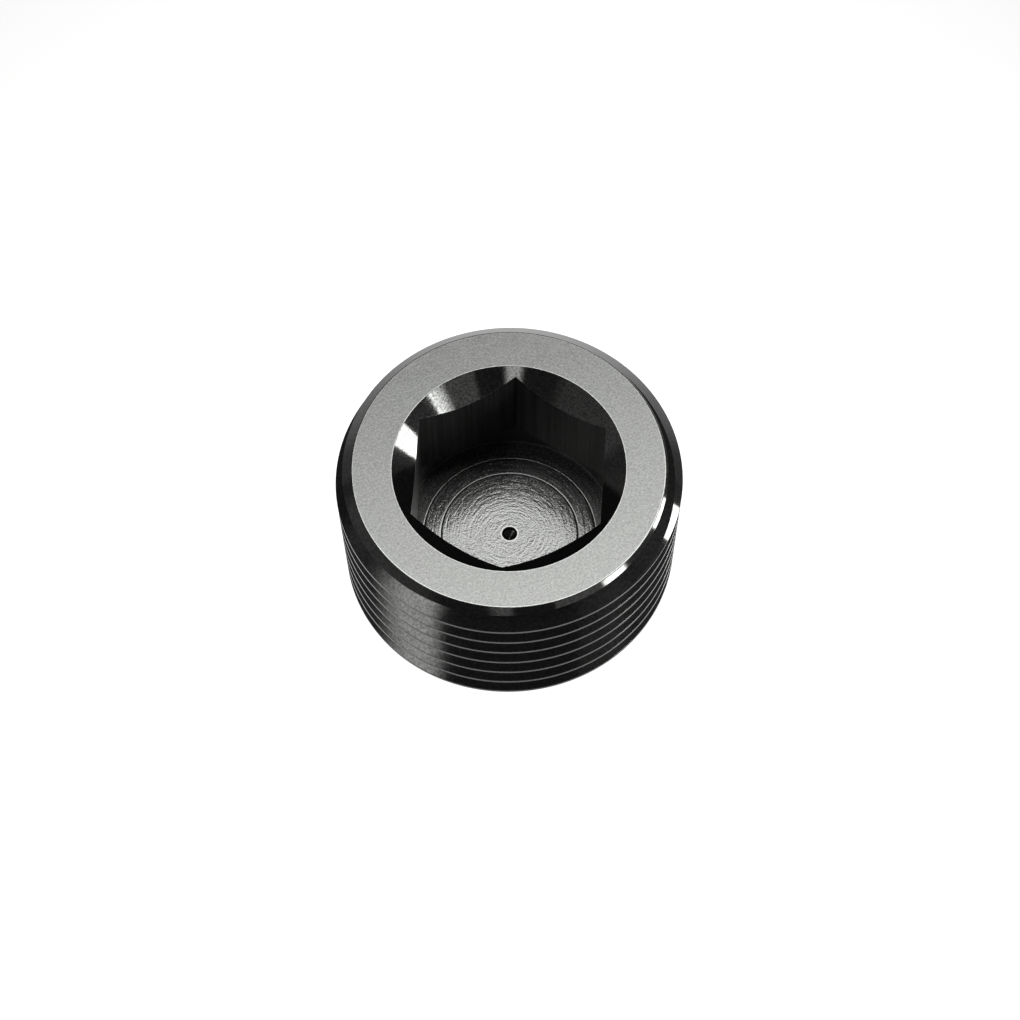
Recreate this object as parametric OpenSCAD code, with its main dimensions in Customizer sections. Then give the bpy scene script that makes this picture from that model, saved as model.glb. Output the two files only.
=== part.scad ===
// Hex socket taper pipe plug, 3/4 inch nominal, 14 threads to the inch.
// One turned and broached piece: taper pipe thread outside, hexagon socket in the top face.
// Origin at the centre of the small end, +Z up through the mouth of the socket. Millimetres.

/* [Body] */
// Overall length, small end to top face
plug_h = 14.3; // [13.4:0.1:16]
// Diameter over the thread crests at the level of the top face
crest_d_top = 26.75; // [26.5:0.05:27.0]
// Taper on the diameter: 1 in this many (pipe thread 1 in 16)
taper_ratio = 16; // [14:1:20]
// Diameter of the flat top face, inside its chamfer
face_d = 24.0; // [23:0.1:24.6]
// Height of the starting chamfer at the small end, 45 degrees
start_chamfer = 1.45; // [0.8:0.05:2]

/* [Thread] */
// Threads per inch
tpi = 14; // [12:1:16]
// Included angle of the thread form
thread_angle = 60; // [55:1:60]
// Width of the crest flat as a fraction of the pitch
crest_flat = 0.14; // [0.08:0.01:0.2]
// Width of the root flat as a fraction of the pitch
root_flat = 0.06; // [0.04:0.01:0.12]
// Depth below the top face of the crest that crosses the +X side
crest_phase = 1.213; // [0.2:0.001:1.8]
// Straight segments in one turn of the thread groove
thread_segments = 48; // [24:4:60]

/* [Socket] */
// Hexagon width across flats
hex_af = 14.42; // [14.2:0.02:14.6]
// Depth of the hexagon below the top face
hex_depth = 8.25; // [7:0.05:9]
// Diameter of the 45 degree countersink at the top face
mouth_d = 17.88; // [17.2:0.02:18.4]
// Diameter of the round chip relief under the hexagon, just over the corners
relief_d = 16.84; // [16.7:0.02:17.4]
// Depth of the socket floor below the top face
floor_depth = 10.85; // [9.5:0.05:11.2]
// Corner radius where the relief meets the floor
floor_fillet = 0.25; // [0.1:0.05:0.6]
// Radius of the inner ring groove in the floor
ring_r = 5.36; // [4:0.01:6]
// Radius of the outer ring groove in the floor
outer_ring_r = 6.73; // [6.2:0.01:7.5]
// Depth of the ring grooves
ring_depth = 0.12; // [0.05:0.01:0.2]
// Width of the ring grooves
ring_w = 0.16; // [0.1:0.01:0.3]
// Diameter of the centre drill mark in the floor
dimple_d = 1.16; // [0.8:0.02:2]
// Depth of the parallel part of the centre drill mark
dimple_depth = 0.45; // [0.2:0.05:1]

/* [Hidden] */
$fn = 96;
black_anodised = [0.05, 0.052, 0.055];
pitch = 25.4 / tpi;
slope = 1 / (2 * taper_ratio);                 // change of radius per mm of height
function crest_r(z) = crest_d_top / 2 + (z - plug_h) * slope;
top_chamfer = (crest_r(plug_h) - face_d / 2) / (1 + slope);
start_r = crest_r(start_chamfer) - start_chamfer;
flank = tan(thread_angle / 2);
thread_depth = pitch * (1 - crest_flat - root_flat) / 2 / flank;
proud = 0.06;                                  // the groove cutter stands this far outside the crests
groove_in = pitch * root_flat / 2;             // half width of the groove at its root
groove_out = groove_in + (thread_depth + proud) * flank;
floor_z = plug_h - floor_depth;
hex_r = hex_af / 2 / cos(30);
cone_h = (mouth_d - hex_af) / 2 + 0.1;         // the countersink runs just past the middle of each flat

// Solid of revolution under the thread: crest cone with both chamfers
module blank() {
    rotate_extrude($fn = 128)
        polygon([
            [0, 0], [start_r, 0], [crest_r(start_chamfer), start_chamfer],
            [crest_r(plug_h - top_chamfer), plug_h - top_chamfer],
            [face_d / 2, plug_h], [0, plug_h]
        ]);
}

// Right-hand V groove along the taper, one closed sweep from below the small end to above the top face
module thread_groove() {
    n = thread_segments;
    // height of the groove centre at angle a, measured up from the turn that crosses +X just under the crest
    z_ref = plug_h - crest_phase - pitch / 2;
    turns_down = ceil((z_ref + groove_out + 0.2) / pitch);
    turns_up = ceil((plug_h - z_ref + groove_out + 0.2) / pitch);
    steps = [-turns_down * n : turns_up * n];
    count = (turns_down + turns_up) * n + 1;
    function ring(i) = let (
        a = 360 * i / n, z = z_ref + pitch * i / n,
        ro = crest_r(z) + proud, ri = crest_r(z) - thread_depth
    ) [
        [ri * cos(a), ri * sin(a), z - groove_in],
        [ro * cos(a), ro * sin(a), z - groove_out],
        [ro * cos(a), ro * sin(a), z + groove_out],
        [ri * cos(a), ri * sin(a), z + groove_in]
    ];
    pts = [for (i = steps) each ring(i)];
    sides = [for (k = [0 : count - 2]) for (j = [0 : 3]) each
        let (p = 4 * k + j, q = 4 * k + (j + 1) % 4) [[p, q, p + 4], [q, q + 4, p + 4]]];
    last = 4 * (count - 1);
    polyhedron(points = pts,
        faces = concat([[3, 2, 1, 0]], sides, [[last, last + 1, last + 2, last + 3]]),
        convexity = 12);
}

// Everything taken out of the top: countersink, hexagon, chip relief, two floor grooves and drill mark
module socket() {
    translate([0, 0, plug_h - cone_h])
        cylinder(h = cone_h, r1 = mouth_d / 2 - cone_h, r2 = mouth_d / 2);
    translate([0, 0, plug_h - 0.5])
        cylinder(h = 1.5, r = mouth_d / 2 - 0.5);
    translate([0, 0, plug_h - hex_depth - 0.2])
        rotate([0, 0, 30]) cylinder(h = hex_depth + 1.2, r = hex_r, $fn = 6);
    rotate_extrude($fn = 96) difference() {
        polygon([[0, floor_z], [relief_d / 2, floor_z], [relief_d / 2, plug_h - hex_depth], [0, plug_h - hex_depth]]);
        translate([relief_d / 2 - floor_fillet, floor_z]) difference() {
            square([floor_fillet + 1, floor_fillet]);
            translate([0, floor_fillet]) circle(r = floor_fillet, $fn = 32);
        }
    }
    for (r = [ring_r, outer_ring_r]) rotate_extrude($fn = 96)
        polygon([[r - ring_w / 2, floor_z + 0.01], [r, floor_z - ring_depth], [r + ring_w / 2, floor_z + 0.01]]);
    translate([0, 0, floor_z - dimple_depth])
        cylinder(h = dimple_depth + 0.2, r = dimple_d / 2, $fn = 32);
    translate([0, 0, floor_z - dimple_depth - dimple_d * 0.3])
        cylinder(h = dimple_d * 0.3, r1 = 0, r2 = dimple_d / 2, $fn = 32);
}

module plug_body() {
    color(black_anodised) difference() {
        blank();
        thread_groove();
        socket();
    }
}

plug_body();
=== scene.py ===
import math

import bpy
import numpy as np
from mathutils import Matrix, Vector


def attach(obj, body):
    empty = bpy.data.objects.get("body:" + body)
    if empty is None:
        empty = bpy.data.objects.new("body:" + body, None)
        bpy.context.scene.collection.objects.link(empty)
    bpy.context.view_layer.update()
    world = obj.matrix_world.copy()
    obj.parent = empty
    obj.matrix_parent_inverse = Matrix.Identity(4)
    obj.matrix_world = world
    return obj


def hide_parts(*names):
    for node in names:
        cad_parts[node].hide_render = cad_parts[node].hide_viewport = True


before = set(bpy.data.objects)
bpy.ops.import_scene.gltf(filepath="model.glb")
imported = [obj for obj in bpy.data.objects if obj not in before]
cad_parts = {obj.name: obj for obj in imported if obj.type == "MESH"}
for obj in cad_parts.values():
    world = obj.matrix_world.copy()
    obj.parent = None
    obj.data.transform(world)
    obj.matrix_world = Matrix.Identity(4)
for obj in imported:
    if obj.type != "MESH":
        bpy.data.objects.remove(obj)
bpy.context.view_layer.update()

# ------------------------------------------------------------------ sizes, millimetres
H = 14.3                # small end to top face
PITCH = 25.4 / 14
SLOPE = 1 / 32          # radius per height
CREST_TOP = 26.744 / 2  # crest radius at the level of the top face, a hair inside the solid's
FACE_R = 12.0
START = 1.45
CREST_FLAT, ROOT_FLAT = 0.14 * PITCH, 0.06 * PITCH
CREST_PHASE = 1.213     # depth of the crest below the top face where it crosses +X
AF = 14.42
HEX_DEPTH = 8.25
MOUTH_R = 8.94
RELIEF_R = 8.42
FLOOR_Z = H - 10.85
FILLET = 0.09
FALL = math.radians(1.5)  # the rim of the floor outside the outer groove falls away by this much
RINGS = (6.73, 5.36)
RING_W, RING_DEPTH = 0.16, 0.12
DIMPLE_R = 0.58
N = 360                 # slices round the axis, one a degree

TURN = math.radians(4.2)  # the photographed view stands this far round from -Y


def crest_r(z):
    return CREST_TOP + (z - H) * SLOPE


DEPTH = (PITCH - CREST_FLAT - ROOT_FLAT) / 2 / math.tan(math.radians(30))
START_R = crest_r(START) - START


# ------------------------------------------------------------------ thread outline over one pitch
def outline():
    """(dz, dr, nr, nz) going down from one crest to the next: crest flat, rounded edge, flank, rounded root, and back up."""
    s30, c30 = 0.5, math.cos(math.radians(30))
    rho, rho_root = 0.045, 0.07
    t, tr = rho * math.tan(math.radians(30)), rho_root * math.tan(math.radians(30))
    g = CREST_FLAT / 2 + DEPTH * math.tan(math.radians(30))
    half = []
    z0 = -CREST_FLAT / 2
    for a in (0, 20, 40, 60):   # from the crest's normal to the lower flank's
        n = (math.cos(math.radians(a)), -math.sin(math.radians(a)))
        half.append((z0 + t - rho * math.sin(math.radians(a)), -rho + rho * math.cos(math.radians(a)), *n))
    for a in (60, 30, 0):       # from the lower flank to the root flat
        n = (math.cos(math.radians(a)), -math.sin(math.radians(a)))
        half.append((-g - tr + rho_root * math.sin(math.radians(a)), -DEPTH + rho_root - rho_root * math.cos(math.radians(a)), *n))
    back = [(-PITCH - z, r, nr, -nz) for z, r, nr, nz in reversed(half)]
    return half + back


OUT = outline()
S = 2 * len(OUT)        # slots in one pitch: each outline point, and a crossing with a chamfer after it


def thread_points(theta):
    """Outline points of every turn on the half-plane at theta (degrees), top to bottom."""
    pts = []
    for k in range(-3, 11):
        zc = H - CREST_PHASE - k * PITCH + PITCH * theta / 360
        for dz, dr, nr, nz in OUT:
            z = zc + dz
            pts.append((z, crest_r(z) + dr, nr, nz))
    return np.array(pts)


EDGE = 0.11             # radius of the broken edge round the top face
t_edge = EDGE * math.tan(math.radians(22.5))
Z_TOP = H - t_edge * math.sin(math.radians(45))
Z_BOT = t_edge * math.sin(math.radians(45))


def chamfer(z):
    return np.minimum(FACE_R + (H - z), START_R + z)


verts, faces, normals, marks = [], [], [], []   # normals: one list of loop normals a face


def add(r, z, theta):
    a = math.radians(theta)
    verts.append((r * math.cos(a), r * math.sin(a), z))
    return len(verts) - 1


def turn(nr, nz, theta, nt=0.0):
    a = math.radians(theta)
    v = np.array((nr * math.cos(a) - nt * math.sin(a), nr * math.sin(a) + nt * math.cos(a), nz))
    return v / np.linalg.norm(v)


def face(corners, mark):
    """corners: (index, normal) in order; drops repeated corners and empty faces."""
    keep = []
    for c in corners:
        if not keep or keep[-1][0] != c[0]:
            keep.append(c)
    if len(keep) > 1 and keep[0][0] == keep[-1][0]:
        keep.pop()
    if len({c[0] for c in keep}) < 3 or len({c[0] for c in keep}) != len(keep):
        return
    faces.append([c[0] for c in keep])
    normals.append([c[1] for c in keep])
    marks.append(mark)


# ------------------------------------------------------------------ the threaded outside
def outside():
    rows = []
    for i in range(N + 1):
        p = thread_points(i * 360 / N)
        z1, r1, z2, r2 = p[:-1, 0], p[:-1, 1], p[1:, 0], p[1:, 1]
        top = (z1 + z2) / 2 > H / 2
        c1 = np.where(top, FACE_R + H - z1, START_R + z1)
        c2 = np.where(top, FACE_R + H - z2, START_R + z2)
        s1, s2 = r1 - c1, r2 - c2
        with np.errstate(all="ignore"):
            t = np.where(s1 * s2 < 0, s1 / (s1 - s2), np.where(abs(s1) < abs(s2), 0.0, 1.0))
        zx, rx = z1 + (z2 - z1) * t, r1 + (r2 - r1) * t
        nx = p[:-1, 2:] + (p[1:, 2:] - p[:-1, 2:]) * t[:, None]
        z = np.empty(2 * len(z1)); r = np.empty_like(z); n = np.empty((len(z), 2))
        z[0::2], z[1::2] = z1, zx
        r[0::2], r[1::2] = r1, rx
        n[0::2], n[1::2] = p[:-1, 2:], nx
        order = p[:, 0][::-1]
        rr = p[:, 1][::-1]
        zc = np.clip(z, Z_BOT, Z_TOP)
        thread = np.interp(zc, order, rr)
        rows.append((zc, np.minimum(thread, chamfer(zc)), n))
    M = len(rows[0][0])
    index = np.zeros((N + 1, M), int)
    for i in range(N):
        zc, rc, _ = rows[i]
        for s in range(M):
            if s and abs(zc[s] - zc[s - 1]) + abs(rc[s] - rc[s - 1]) < 2e-5:
                index[i, s] = index[i, s - 1]
            else:
                index[i, s] = add(rc[s], zc[s], i * 360 / N)
    for s in range(M):
        index[N, s] = index[0, max(0, s - S)]
        j = max(0, s - S)
        assert abs(rows[N][0][s] - rows[0][0][j]) < 1e-4, (s, rows[N][0][s], rows[0][0][j])
    lead = PITCH / (2 * math.pi)
    # width of the cut on the end of the first crest: where it runs out thin, its edge is rolled over
    wide = []
    for zc, rc, _ in rows:
        zm, rm = (zc[:-1] + zc[1:]) / 2, (rc[:-1] + rc[1:]) / 2
        long = np.hypot(np.diff(zc), np.diff(rc))
        runs, going = [], False
        for on, high, l in zip(abs(rm - chamfer(zm)) < 1e-5, zm > H / 2, long):
            if l < 1e-6 or not high:
                continue
            if on and not going:
                runs.append(0.0)
            if on:
                runs[-1] += l
            going = on
        wide.append(runs[-1] if len(runs) > 1 else 9.0)

    def rolled(i, r):
        return 0.72 + 0.28 * min(max((wide[i] - 0.2) / 0.2, 0.0), 1.0) if r > 12.6 else 1.0

    for i in range(N):
        (za, ra, na), (zb, rb, nb) = rows[i], rows[i + 1]
        ta, tb = i * 360 / N, (i + 1) * 360 / N
        for s in range(M - 1):
            la = math.hypot(za[s] - za[s + 1], ra[s] - ra[s + 1])
            lb = math.hypot(zb[s] - zb[s + 1], rb[s] - rb[s + 1])
            if max(la, lb) < 2e-5:
                continue
            z, r = ((za[s] + za[s + 1]) / 2, (ra[s] + ra[s + 1]) / 2) if la >= lb else ((zb[s] + zb[s + 1]) / 2, (rb[s] + rb[s + 1]) / 2)
            cut = abs(r - chamfer(z)) < 1e-5
            if cut:
                if z > H / 2:
                    roll = [rolled(k, q) for k, q in ((i, ra[s]), (i, ra[s + 1]), (i + 1, rb[s + 1]), (i + 1, rb[s]))]
                else:
                    roll = [-1.0] * 4
                n = [turn(1, nz, t) for nz, t in zip(roll, (ta, ta, tb, tb))]
                mark = 1
            else:
                n = [turn(q[0], q[1], t, -q[1] * lead / 13) for q, t in ((na[s], ta), (na[s + 1], ta), (nb[s + 1], tb), (nb[s], tb))]
                mark = 0
            face([(index[i, s], n[0]), (index[i, s + 1], n[1]), (index[i + 1, s + 1], n[2]), (index[i + 1, s], n[3])], mark)
    return index[:N, 0], index[:N, -1]


def ring(r, z):
    """A ring of N points; r and z are numbers or functions of the angle in degrees."""
    out = []
    for i in range(N):
        t = i * 360 / N
        out.append(add(r(t) if callable(r) else r, z(t) if callable(z) else z, t))
    return out


def strip(a, b, na, nb, mark):
    """Quads from ring a to ring b. na, nb: (nr, nz), or a function of (angle, flat angle) giving a 3-D normal."""
    for i in range(N):
        j = (i + 1) % N
        t, u = i * 360 / N, (i + 1) * 360 / N
        mid = (t + u) / 2
        flat = 60 * round(mid / 60)

        def n(q, angle):
            return q(angle, flat) if callable(q) else turn(q[0], q[1], angle)

        face([(a[i], n(na, t)), (a[j], n(na, u)), (b[j], n(nb, u)), (b[i], n(nb, t))], mark)


def fan(a, r0z, nz, mark, flip=False):
    c = len(verts)
    verts.append((0, 0, r0z))
    for i in range(N):
        j = (i + 1) % N
        n = turn(0, nz, 0)
        f = [(a[i], n), (a[j], n), (c, n)]
        face(f[::-1] if flip else f, mark)


def hex_r(t):
    d = (t + 30) % 60 - 30
    return AF / 2 / math.cos(math.radians(d))


def arc(cr, cz, rho, a0, a1, steps):
    """Points (r, z, a) on a circle, a in degrees from +r towards +z."""
    return [(cr + rho * math.cos(math.radians(a)), cz + rho * math.sin(math.radians(a)), a) for a in np.linspace(a0, a1, steps + 1)]


def unit(a):
    return math.cos(math.radians(a)), math.sin(math.radians(a))


TOP, CONE, HEX, BORE, FLOOR, BASE, RUB, DRILL, OUTER, LIP = 2, 3, 4, 5, 6, 7, 8, 9, 10, 11


def inside(start):
    """From the upper end of the outside over the top face and down the socket to its middle."""
    prev, pn = start, unit(45)

    def go(r, z, n, mark, jump=None):
        nonlocal prev, pn
        nxt = ring(r, z)
        strip(prev, nxt, pn if jump is None else jump, n, mark)
        prev, pn = nxt, n

    # broken edge: 45 degrees to straight up
    cr, cz = FACE_R - t_edge, H - EDGE
    for r, z, a in arc(cr, cz, EDGE, 45, 90, 4)[1:]:
        go(r, z, unit(a), RUB if a > 70 else TOP)
    up, down = (0.0, 1.0), (0.0, -1.0)
    go(cr - 0.04, H, up, RUB)
    for r in (11.2, 10.4, 9.6):
        go(r, H, up, TOP)
    rho = 0.07
    t = rho * math.tan(math.radians(22.5))
    go(MOUTH_R + t + 0.05, H, up, TOP)
    go(MOUTH_R + t, H, up, RUB)
    for r, z, a in arc(MOUTH_R + t, H - rho, rho, 90, 135, 3)[1:]:
        go(r, z, unit(a), RUB if a < 125 else CONE)
    # countersink down to the edge of the hexagon
    e = 0.05 * math.tan(math.radians(22.5))
    inn = unit(135)
    go(lambda a: hex_r(a) + e * 0.7071, lambda a: H - (MOUTH_R - hex_r(a)) + e * 0.7071, inn, CONE)

    def wall(angle, flat):
        return -np.array((math.cos(math.radians(flat)), math.sin(math.radians(flat)), 0.0))

    def mix(f):
        def n(angle, flat):
            v = turn(inn[0], inn[1], angle) * (1 - f) + wall(angle, flat) * f
            return v / np.linalg.norm(v)
        return n

    go(lambda a: hex_r(a) + e * 0.12, lambda a: H - (MOUTH_R - hex_r(a)) - e * 0.12, mix(0.5), HEX)
    go(hex_r, lambda a: H - (MOUTH_R - hex_r(a)) - e, mix(1.0), HEX)
    go(hex_r, H - HEX_DEPTH, wall, HEX)
    # chip relief: its ceiling, wall and the corner down to the floor
    go(RELIEF_R, H - HEX_DEPTH, down, BORE, jump=down)
    go(RELIEF_R, FLOOR_Z + FILLET - 0.05, (-1.0, 0.0), BORE, jump=(-1.0, 0.0))
    rim = RINGS[0] + RING_W / 2 + 0.12
    low = FLOOR_Z - (RELIEF_R - FILLET - rim) * math.tan(FALL)
    for r, z, a in arc(RELIEF_R - FILLET, low + FILLET, FILLET, 0, -93, 6)[1:]:
        go(r, z, (-math.cos(math.radians(a)), -math.sin(math.radians(a))), BORE)
    fall = (math.sin(FALL), math.cos(FALL))
    go(7.6, FLOOR_Z - (7.6 - rim) * math.tan(FALL), fall, OUTER)
    for c, tilt in zip(RINGS, (1.0, 0.75)):
        # dished lip outside the groove, then the narrow V
        lip = 0.12
        o, i = c + RING_W / 2, c - RING_W / 2
        go(o + lip, FLOOR_Z, fall if c > 6 else up, OUTER if c > 6 else FLOOR)
        z = FLOOR_Z
        for k, (f, g) in enumerate(((0.66, 4), (0.33, 8), (0.0, 12))):
            g *= tilt
            z -= lip * 0.33 * math.tan(math.radians(g * 0.8))
            go(o + lip * f, z, (-math.sin(math.radians(g)), math.cos(math.radians(g))), LIP, jump=up if k == 0 else None)
        v = math.degrees(math.atan2(RING_DEPTH, RING_W / 2))
        out = (-math.sin(math.radians(v)), math.cos(math.radians(v)))
        go(c, FLOOR_Z - RING_DEPTH, out, FLOOR, jump=out)
        inner = (math.sin(math.radians(v)), math.cos(math.radians(v)))
        go(i, FLOOR_Z, inner, FLOOR, jump=inner)
        go(i - 0.02, FLOOR_Z, up, FLOOR, jump=up)
    for r in (4.0, 2.53, 1.4):
        go(r, FLOOR_Z, up, FLOOR)
    rho = 0.04
    go(DIMPLE_R + rho + 0.1, FLOOR_Z, up, FLOOR)
    go(DIMPLE_R + rho, FLOOR_Z, up, RUB)
    for r, z, a in arc(DIMPLE_R + rho, FLOOR_Z - rho, rho, 90, 180, 3)[1:]:
        go(r, z, unit(a), DRILL)
    go(DIMPLE_R, FLOOR_Z - 0.45, (-1.0, 0.0), DRILL)
    tip = (-0.5, 0.866)
    go(DIMPLE_R * 0.5, FLOOR_Z - 0.45 - DIMPLE_R * 0.3, tip, DRILL, jump=tip)
    go(0.05, FLOOR_Z - 0.45 - DIMPLE_R * 0.57, tip, DRILL)
    c = len(verts)
    verts.append((0, 0, FLOOR_Z - 0.45 - DIMPLE_R * 0.6))
    for i in range(N):
        j = (i + 1) % N
        face([(prev[i], turn(*tip, i)), (prev[j], turn(*tip, i + 1)), (c, np.array((0, 0, 1.0)))], DRILL)


def underneath(start):
    prev, pn = start, unit(-45)
    down = (0.0, -1.0)

    def go(r, z, n, mark, jump=None):
        nonlocal prev, pn
        nxt = ring(r, z)
        strip(nxt, prev, n, pn if jump is None else jump, mark)
        prev, pn = nxt, n

    for r, z, a in arc(START_R - t_edge, EDGE, EDGE, -45, -90, 3)[1:]:
        go(r, z, unit(a), BASE)
    for r in (9.0, 6.0, 3.0, 0.9):
        go(r, 0.0, down, BASE)
    c = len(verts)
    verts.append((0, 0, 0))
    n = np.array((0, 0, -1.0))
    for i in range(N):
        j = (i + 1) % N
        face([(prev[j], n), (prev[i], n), (c, n)], BASE)


upper, lower = outside()
inside(list(upper))
underneath(list(lower))

mesh = bpy.data.meshes.new("plug")
mesh.from_pydata([tuple(0.001 * c for c in v) for v in verts], [], faces)
mesh.update()
print("plug: verts", len(verts), "faces", len(faces), "tris", sum(len(f) - 2 for f in faces))
plug = bpy.data.objects.new("plug", mesh)
bpy.context.scene.collection.objects.link(plug)
for p in mesh.polygons:
    p.use_smooth = True
mesh.normals_split_custom_set([tuple(n) for f in normals for n in f])


# ------------------------------------------------------------------ black film
class Tree:
    """Short hand for wiring nodes."""

    def __init__(self, nt):
        self.nt = nt

    def node(self, kind, **kw):
        n = self.nt.nodes.new(kind)
        for k, v in kw.items():
            setattr(n, k, v)
        return n

    def put(self, socket, v):
        if isinstance(v, bpy.types.NodeSocket):
            self.nt.links.new(v, socket)
        else:
            socket.default_value = v

    def math(self, op, a, b=0.0, c=0.0, clamp=False):
        n = self.node("ShaderNodeMath", operation=op, use_clamp=clamp)
        for s, v in zip(n.inputs, (a, b, c)):
            self.put(s, v)
        return n.outputs[0]

    def add(self, *v):
        out = v[0]
        for q in v[1:]:
            out = self.math("ADD", out, q)
        return out

    def mul(self, *v):
        out = v[0]
        for q in v[1:]:
            out = self.math("MULTIPLY", out, q)
        return out

    def step(self, v, lo, hi, a=0.0, b=1.0):
        """Smooth step of v from a at lo to b at hi."""
        n = self.node("ShaderNodeMapRange", interpolation_type="SMOOTHSTEP", clamp=True)
        for s, q in zip(n.inputs[:5], (v, lo, hi, a, b)):
            self.put(s, q)
        return n.outputs[0]

    def split(self, v):
        n = self.node("ShaderNodeSeparateXYZ")
        self.put(n.inputs[0], v)
        return n.outputs

    def join(self, x, y, z):
        n = self.node("ShaderNodeCombineXYZ")
        for s, q in zip(n.inputs, (x, y, z)):
            self.put(s, q)
        return n.outputs[0]

    def noise(self, vec, scale, detail=2.0, rough=0.5):
        n = self.node("ShaderNodeTexNoise", noise_dimensions="3D")
        self.put(n.inputs["Vector"], vec)
        self.put(n.inputs["Scale"], scale)
        self.put(n.inputs["Detail"], detail)
        self.put(n.inputs["Roughness"], rough)
        return n.outputs[0]

    def bump(self, height, distance, normal=None, strength=1.0):
        n = self.node("ShaderNodeBump")
        self.put(n.inputs["Strength"], strength)
        self.put(n.inputs["Distance"], distance)
        self.put(n.inputs["Height"], height)
        if normal is not None:
            self.put(n.inputs["Normal"], normal)
        return n.outputs[0]


def nodes_of(name):
    m = bpy.data.materials.new(name)
    m.use_nodes = True
    nt = m.node_tree
    nt.nodes.clear()
    out = nt.nodes.new("ShaderNodeOutputMaterial")
    b = nt.nodes.new("ShaderNodeBsdfPrincipled")
    nt.links.new(b.outputs[0], out.inputs[0])
    return m, Tree(nt), b


FILM = (0.0446, 0.0450, 0.0442)    # head-on reflectance of the black film; almost nothing scatters from under it
MM = 1000.0             # object coordinates are metres


def anodised(name, rough, tone=0.15, vary=0.03, grain=0.0, grain_scale=4.5, rings=0.0, ring_scale=7.0, columns=0.0, film=1.0, metal=0.985, blotch=0.0, ringed=True, arcs=1.0):
    """Black anodised metal. grain, rings and columns are the heights in micrometres of the fine pitting,
    of the turning marks round the axis, and of the broaching marks along it; tone is how far the same
    marks lighten and darken the film, and blotch how far they change its roughness.
    Without ringed, the turning marks only shape the surface and leave the film's tone alone; arcs is
    their share in it, against the fine pitting's."""
    m, t, b = nodes_of(name)
    here = t.node("ShaderNodeTexCoord").outputs["Object"]
    x, y, z = t.split(here)
    fine = t.noise(here, grain_scale * MM, 2.0, 0.6)
    broad = t.noise(here, 0.55 * MM, 1.0, 0.6)
    mark, normal = fine, None
    if rings:
        r = t.math("SQRT", t.add(t.mul(x, x), t.mul(y, y)))
        cx, cy = t.math("DIVIDE", x, t.math("MAXIMUM", r, 1e-5)), t.math("DIVIDE", y, t.math("MAXIMUM", r, 1e-5))
        # long arcs and short arcs: fine in radius, slow round the axis
        v = t.join(t.mul(r, ring_scale * MM), t.mul(cx, 2.5), t.mul(cy, 2.5))
        v2 = t.join(t.mul(r, ring_scale * MM * 0.9), t.mul(cx, 13.0), t.mul(cy, 13.0))
        h = t.add(t.mul(t.noise(v, 1.0, 1.0, 0.6), 1.2), t.mul(t.noise(v2, 1.0, 1.0, 0.6), 0.7))
        normal = t.bump(h, rings * 1e-6, normal)
        if ringed:
            mark = t.mul(t.add(t.mul(fine, 1.8 - arcs), t.mul(h, arcs)), 1 / (1.8 + 0.9 * arcs))
    if columns:
        v = t.join(t.mul(x, 4.5 * MM), t.mul(y, 4.5 * MM), t.mul(z, 0.06 * MM))
        h = t.noise(v, 1.0, 2.0, 0.6)
        normal = t.bump(h, columns * 1e-6, normal)
        mark = t.mul(t.add(t.mul(fine, 0.4), h), 1 / 1.4)
    if grain:
        normal = t.bump(fine, grain * 1e-6, normal)
    spread = t.math("ADD", t.mul(t.math("SUBTRACT", mark, 0.5), 2.6), t.mul(t.math("SUBTRACT", broad, 0.5), 0.25))
    mix = t.node("ShaderNodeMix", data_type="RGBA")
    t.put(mix.inputs["Factor"], t.math("ADD", spread, 0.5, clamp=True))
    mix.inputs["A"].default_value = tuple(c * film * (1 - tone) for c in FILM) + (1,)
    mix.inputs["B"].default_value = tuple(c * film * (1 + tone) for c in FILM) + (1,)
    t.put(b.inputs["Base Color"], mix.outputs["Result"])
    uneven = t.mul(t.math("SUBTRACT", mark if blotch else fine, 0.5), blotch * 2.6 if blotch else vary)
    t.put(b.inputs["Roughness"], t.add(rough, t.mul(t.math("SUBTRACT", broad, 0.5), vary * 2), uneven))
    b.inputs["Metallic"].default_value = metal
    b.inputs["IOR"].default_value = 1.5
    if normal is not None:
        t.put(b.inputs["Normal"], normal)
    return m


looks = [
    anodised("thread_flanks", 0.10, tone=0.35, grain=0.8),
    anodised("chamfer", 0.06, tone=0.3, grain=0.6),
    anodised("turned_face", 0.23, tone=0.19, grain=2.2, grain_scale=6.0, rings=0.5, ring_scale=3.5, ringed=False),
    anodised("countersink", 0.08, tone=0.5, grain=1.6, grain_scale=6.0, metal=0.97),
    anodised("broached_walls", 0.42, tone=0.6, grain=1.5, columns=8.0, metal=0.8),
    anodised("relief_wall", 0.5, tone=0.4, grain=2.0, rings=5.0, metal=0.4),
    anodised("turned_floor", 0.205, tone=0.5, grain=9.0, grain_scale=7.0, rings=12.0, ring_scale=6.0, film=1.02, metal=0.68, blotch=0.34, arcs=0.5),
    anodised("small_end", 0.25, tone=0.3, grain=1.1, rings=2.5, ring_scale=5.0),
    anodised("burnished_edge", 0.18, tone=0.2, grain=1.0, film=1.5),
    anodised("drilled", 0.2, tone=0.3, grain=1.0, film=0.8),
    anodised("relief_floor", 0.27, tone=0.45, grain=3.0, grain_scale=7.0, rings=4.0, ring_scale=6.0, metal=0.5, blotch=0.1, arcs=0.5),
    anodised("groove_lips", 0.2, tone=0.3, grain=2.0, grain_scale=7.0, rings=2.0, ring_scale=6.0, film=1.0),
]
for m in looks:
    mesh.materials.append(m)
mesh.polygons.foreach_set("material_index", marks)

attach(plug, "root")
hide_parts("plug_body")

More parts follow.
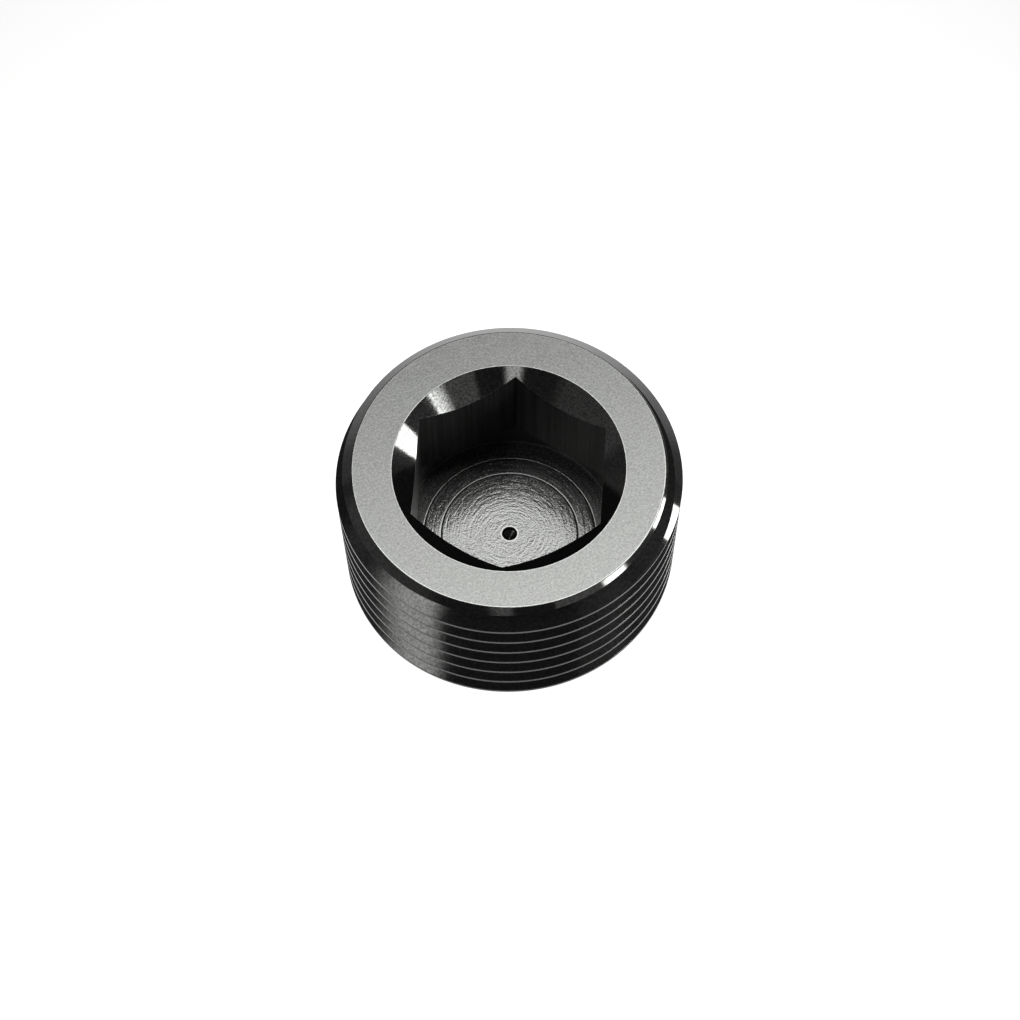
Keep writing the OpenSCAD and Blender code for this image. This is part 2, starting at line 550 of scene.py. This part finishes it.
# ------------------------------------------------------------------ floor, lights, camera
UNIT = 0.012            # the camera was solved in units of the top face's radius
SPIN = Matrix.Rotation(TURN, 4, "Z")
CENTRE = Vector((0, 0, H * 0.001))

floor_mesh = bpy.data.meshes.new("floor")
fs = 1.5
fz = -0.00002
floor_mesh.from_pydata([(-fs, -fs, fz), (fs, -fs, fz), (fs, fs, fz), (-fs, fs, fz)], [], [(0, 1, 2, 3)])
floor = bpy.data.objects.new("floor", floor_mesh)
bpy.context.scene.collection.objects.link(floor)
fm, t, fb = nodes_of("floor_with_painted_glow")
fb.inputs["Base Color"].default_value = (0.1, 0.1, 0.1, 1)
fb.inputs["Roughness"].default_value = 0.9
fb.inputs["Specular IOR Level"].default_value = 0.0
fb.inputs["Emission Color"].default_value = (1, 1, 1, 1)
# The floor glows: its emission is highest within 35 mm of the plug and fades to a low glow by 150 mm. This is a
# painted pool of light round the plug, and it also fills in the plug's contact shadow.
fx, fy, _ = t.split(t.node("ShaderNodeTexCoord").outputs["Object"])
far = t.math("SQRT", t.add(t.mul(fx, fx), t.mul(fy, fy)))
t.put(fb.inputs["Emission Strength"], t.add(0.17, t.step(far, 0.045, 0.15, 0.61, 0.0), t.step(far, 0.035, 0.06, 0.26, 0.0)))
floor_mesh.materials.append(fm)

# The studio round the plug is one procedural sky of soft boxes, placed by azimuth (degrees, 0 on the
# camera's side, growing to the right) and elevation above the floor.
world = bpy.data.worlds.new("studio")
bpy.context.scene.world = world
world.use_nodes = True
wt = world.node_tree
wt.nodes.clear()
t = Tree(wt)
dx, dy, dz = t.split(t.node("ShaderNodeTexCoord").outputs["Generated"])
c, s_ = math.cos(TURN), math.sin(TURN)
px = t.add(t.mul(dx, c), t.mul(dy, s_))         # the photograph's right
py = t.add(t.mul(dy, c), t.mul(dx, -s_))        # away from the camera
DEG = 180 / math.pi
az = t.mul(t.math("ARCTAN2", px, t.mul(py, -1.0)), DEG)
el = t.mul(t.math("ARCSINE", t.math("MINIMUM", t.math("MAXIMUM", dz, -1.0), 1.0)), DEG)


def span(v, a0, a1, b1, b0):
    """1 between a1 and b1, falling smoothly to 0 at a0 and b0."""
    return t.mul(t.step(v, a0, a1), t.step(v, b1, b0, 1.0, 0.0))


def box(radiance, azimuths, elevations):
    return t.mul(span(az, *azimuths), span(el, *elevations), radiance)


# big overhead box, behind and above; its near edge runs slightly askew
safe = t.math("MAXIMUM", dz, 0.05)
ox, oy = t.math("DIVIDE", px, safe), t.math("DIVIDE", py, safe)
askew = t.add(oy, t.mul(ox, -0.31))
overhead = t.mul(t.step(askew, 0.46, 0.66, 1.0, 0.0), t.step(oy, 0.0, 0.2), span(ox, -0.6, -0.4, 0.5, 0.75), t.step(el, 30, 40),
                 t.step(oy, 0.3, 0.6, 18.3, 17.5))
panel = t.mul(t.step(t.add(az, t.mul(el, -0.5)), 11.0, 13.0), t.step(az, 58, 74, 1.0, 0.0), span(el, 4, 12, 30, 60), 0.75)
sky = t.add(
    0.12,
    t.mul(span(el, -20, -5, 4, 30), 0.1),
    overhead,
    box(5.0, (-94, -64, -56, -43), (37, 45, 60, 70)),        # left, high
    box(0.33, (-112, -100, -52, -36), (-20, -5, 30, 46)),    # left, low
    box(0.5, (-168, -145, -116, -100), (-20, -8, -6, -2.5)),    # left, lower and further back
    panel,
    box(0.2, (55, 70, 95, 125), (-20, -5, 38, 56)),          # right, low
    t.mul(span(t.add(az, t.mul(el, 0.4), -7.2), 52.5, 56, 65.5, 67.5), span(el, 11.5, 13.5, 19.5, 26.5), 30.0),  # right strip, higher, leaning
    box(30.0, (90, 91, 104.5, 105.5), (-1, 1, 16, 18)),      # right strip, lower
    box(5.5, (-14, -8, -2, 4), (25.8, 29.6, 32, 35)),            # small one in front
)
bg = t.node("ShaderNodeBackground")
bg.inputs[0].default_value = (0.99, 1.0, 0.98, 1)
t.put(bg.inputs[1], sky)
# what stands behind the plug in any view is the same plain pale sweep as the floor
sweep = t.node("ShaderNodeBackground")
sweep.inputs[0].default_value = (1, 1, 1, 1)
sweep.inputs[1].default_value = 1.0
either = t.node("ShaderNodeMixShader")
t.put(either.inputs[0], t.node("ShaderNodeLightPath").outputs["Is Camera Ray"])
wt.links.new(bg.outputs[0], either.inputs[1])
wt.links.new(sweep.outputs[0], either.inputs[2])
wo = t.node("ShaderNodeOutputWorld")
wt.links.new(either.outputs[0], wo.inputs[0])

cam = bpy.data.cameras.new("camera")
cam.sensor_width = 36
cam.lens = 3419.87 / 1020 * 36
cam.clip_start, cam.clip_end = 0.01, 10
cam_ob = bpy.data.objects.new("camera", cam)
bpy.context.scene.collection.objects.link(cam_ob)
E, PITCH_A, YAW, ROLL, DIST = (math.radians(60.954), math.radians(0.7234), math.radians(0.0250), math.radians(-0.6847), 21.7283 * UNIT)
a = E + PITCH_A
fwd = Vector((math.sin(YAW) * math.cos(a), math.cos(YAW) * math.cos(a), -math.sin(a)))
right = fwd.cross(Vector((0, 0, 1))).normalized()
upv = right.cross(fwd)
R2 = math.cos(ROLL) * right + math.sin(ROLL) * upv
U2 = -math.sin(ROLL) * right + math.cos(ROLL) * upv
pose = Matrix((R2, U2, -fwd)).transposed().to_4x4()
cam_ob.matrix_world = SPIN @ Matrix.Translation(CENTRE + Vector((0, -math.cos(E), math.sin(E))) * DIST) @ pose
bpy.context.scene.camera = cam_ob

sc = bpy.context.scene
sc.view_settings.view_transform = "Standard"
sc.view_settings.look = "None"
sc.view_settings.exposure = 0.0
sc.view_settings.gamma = 1.0
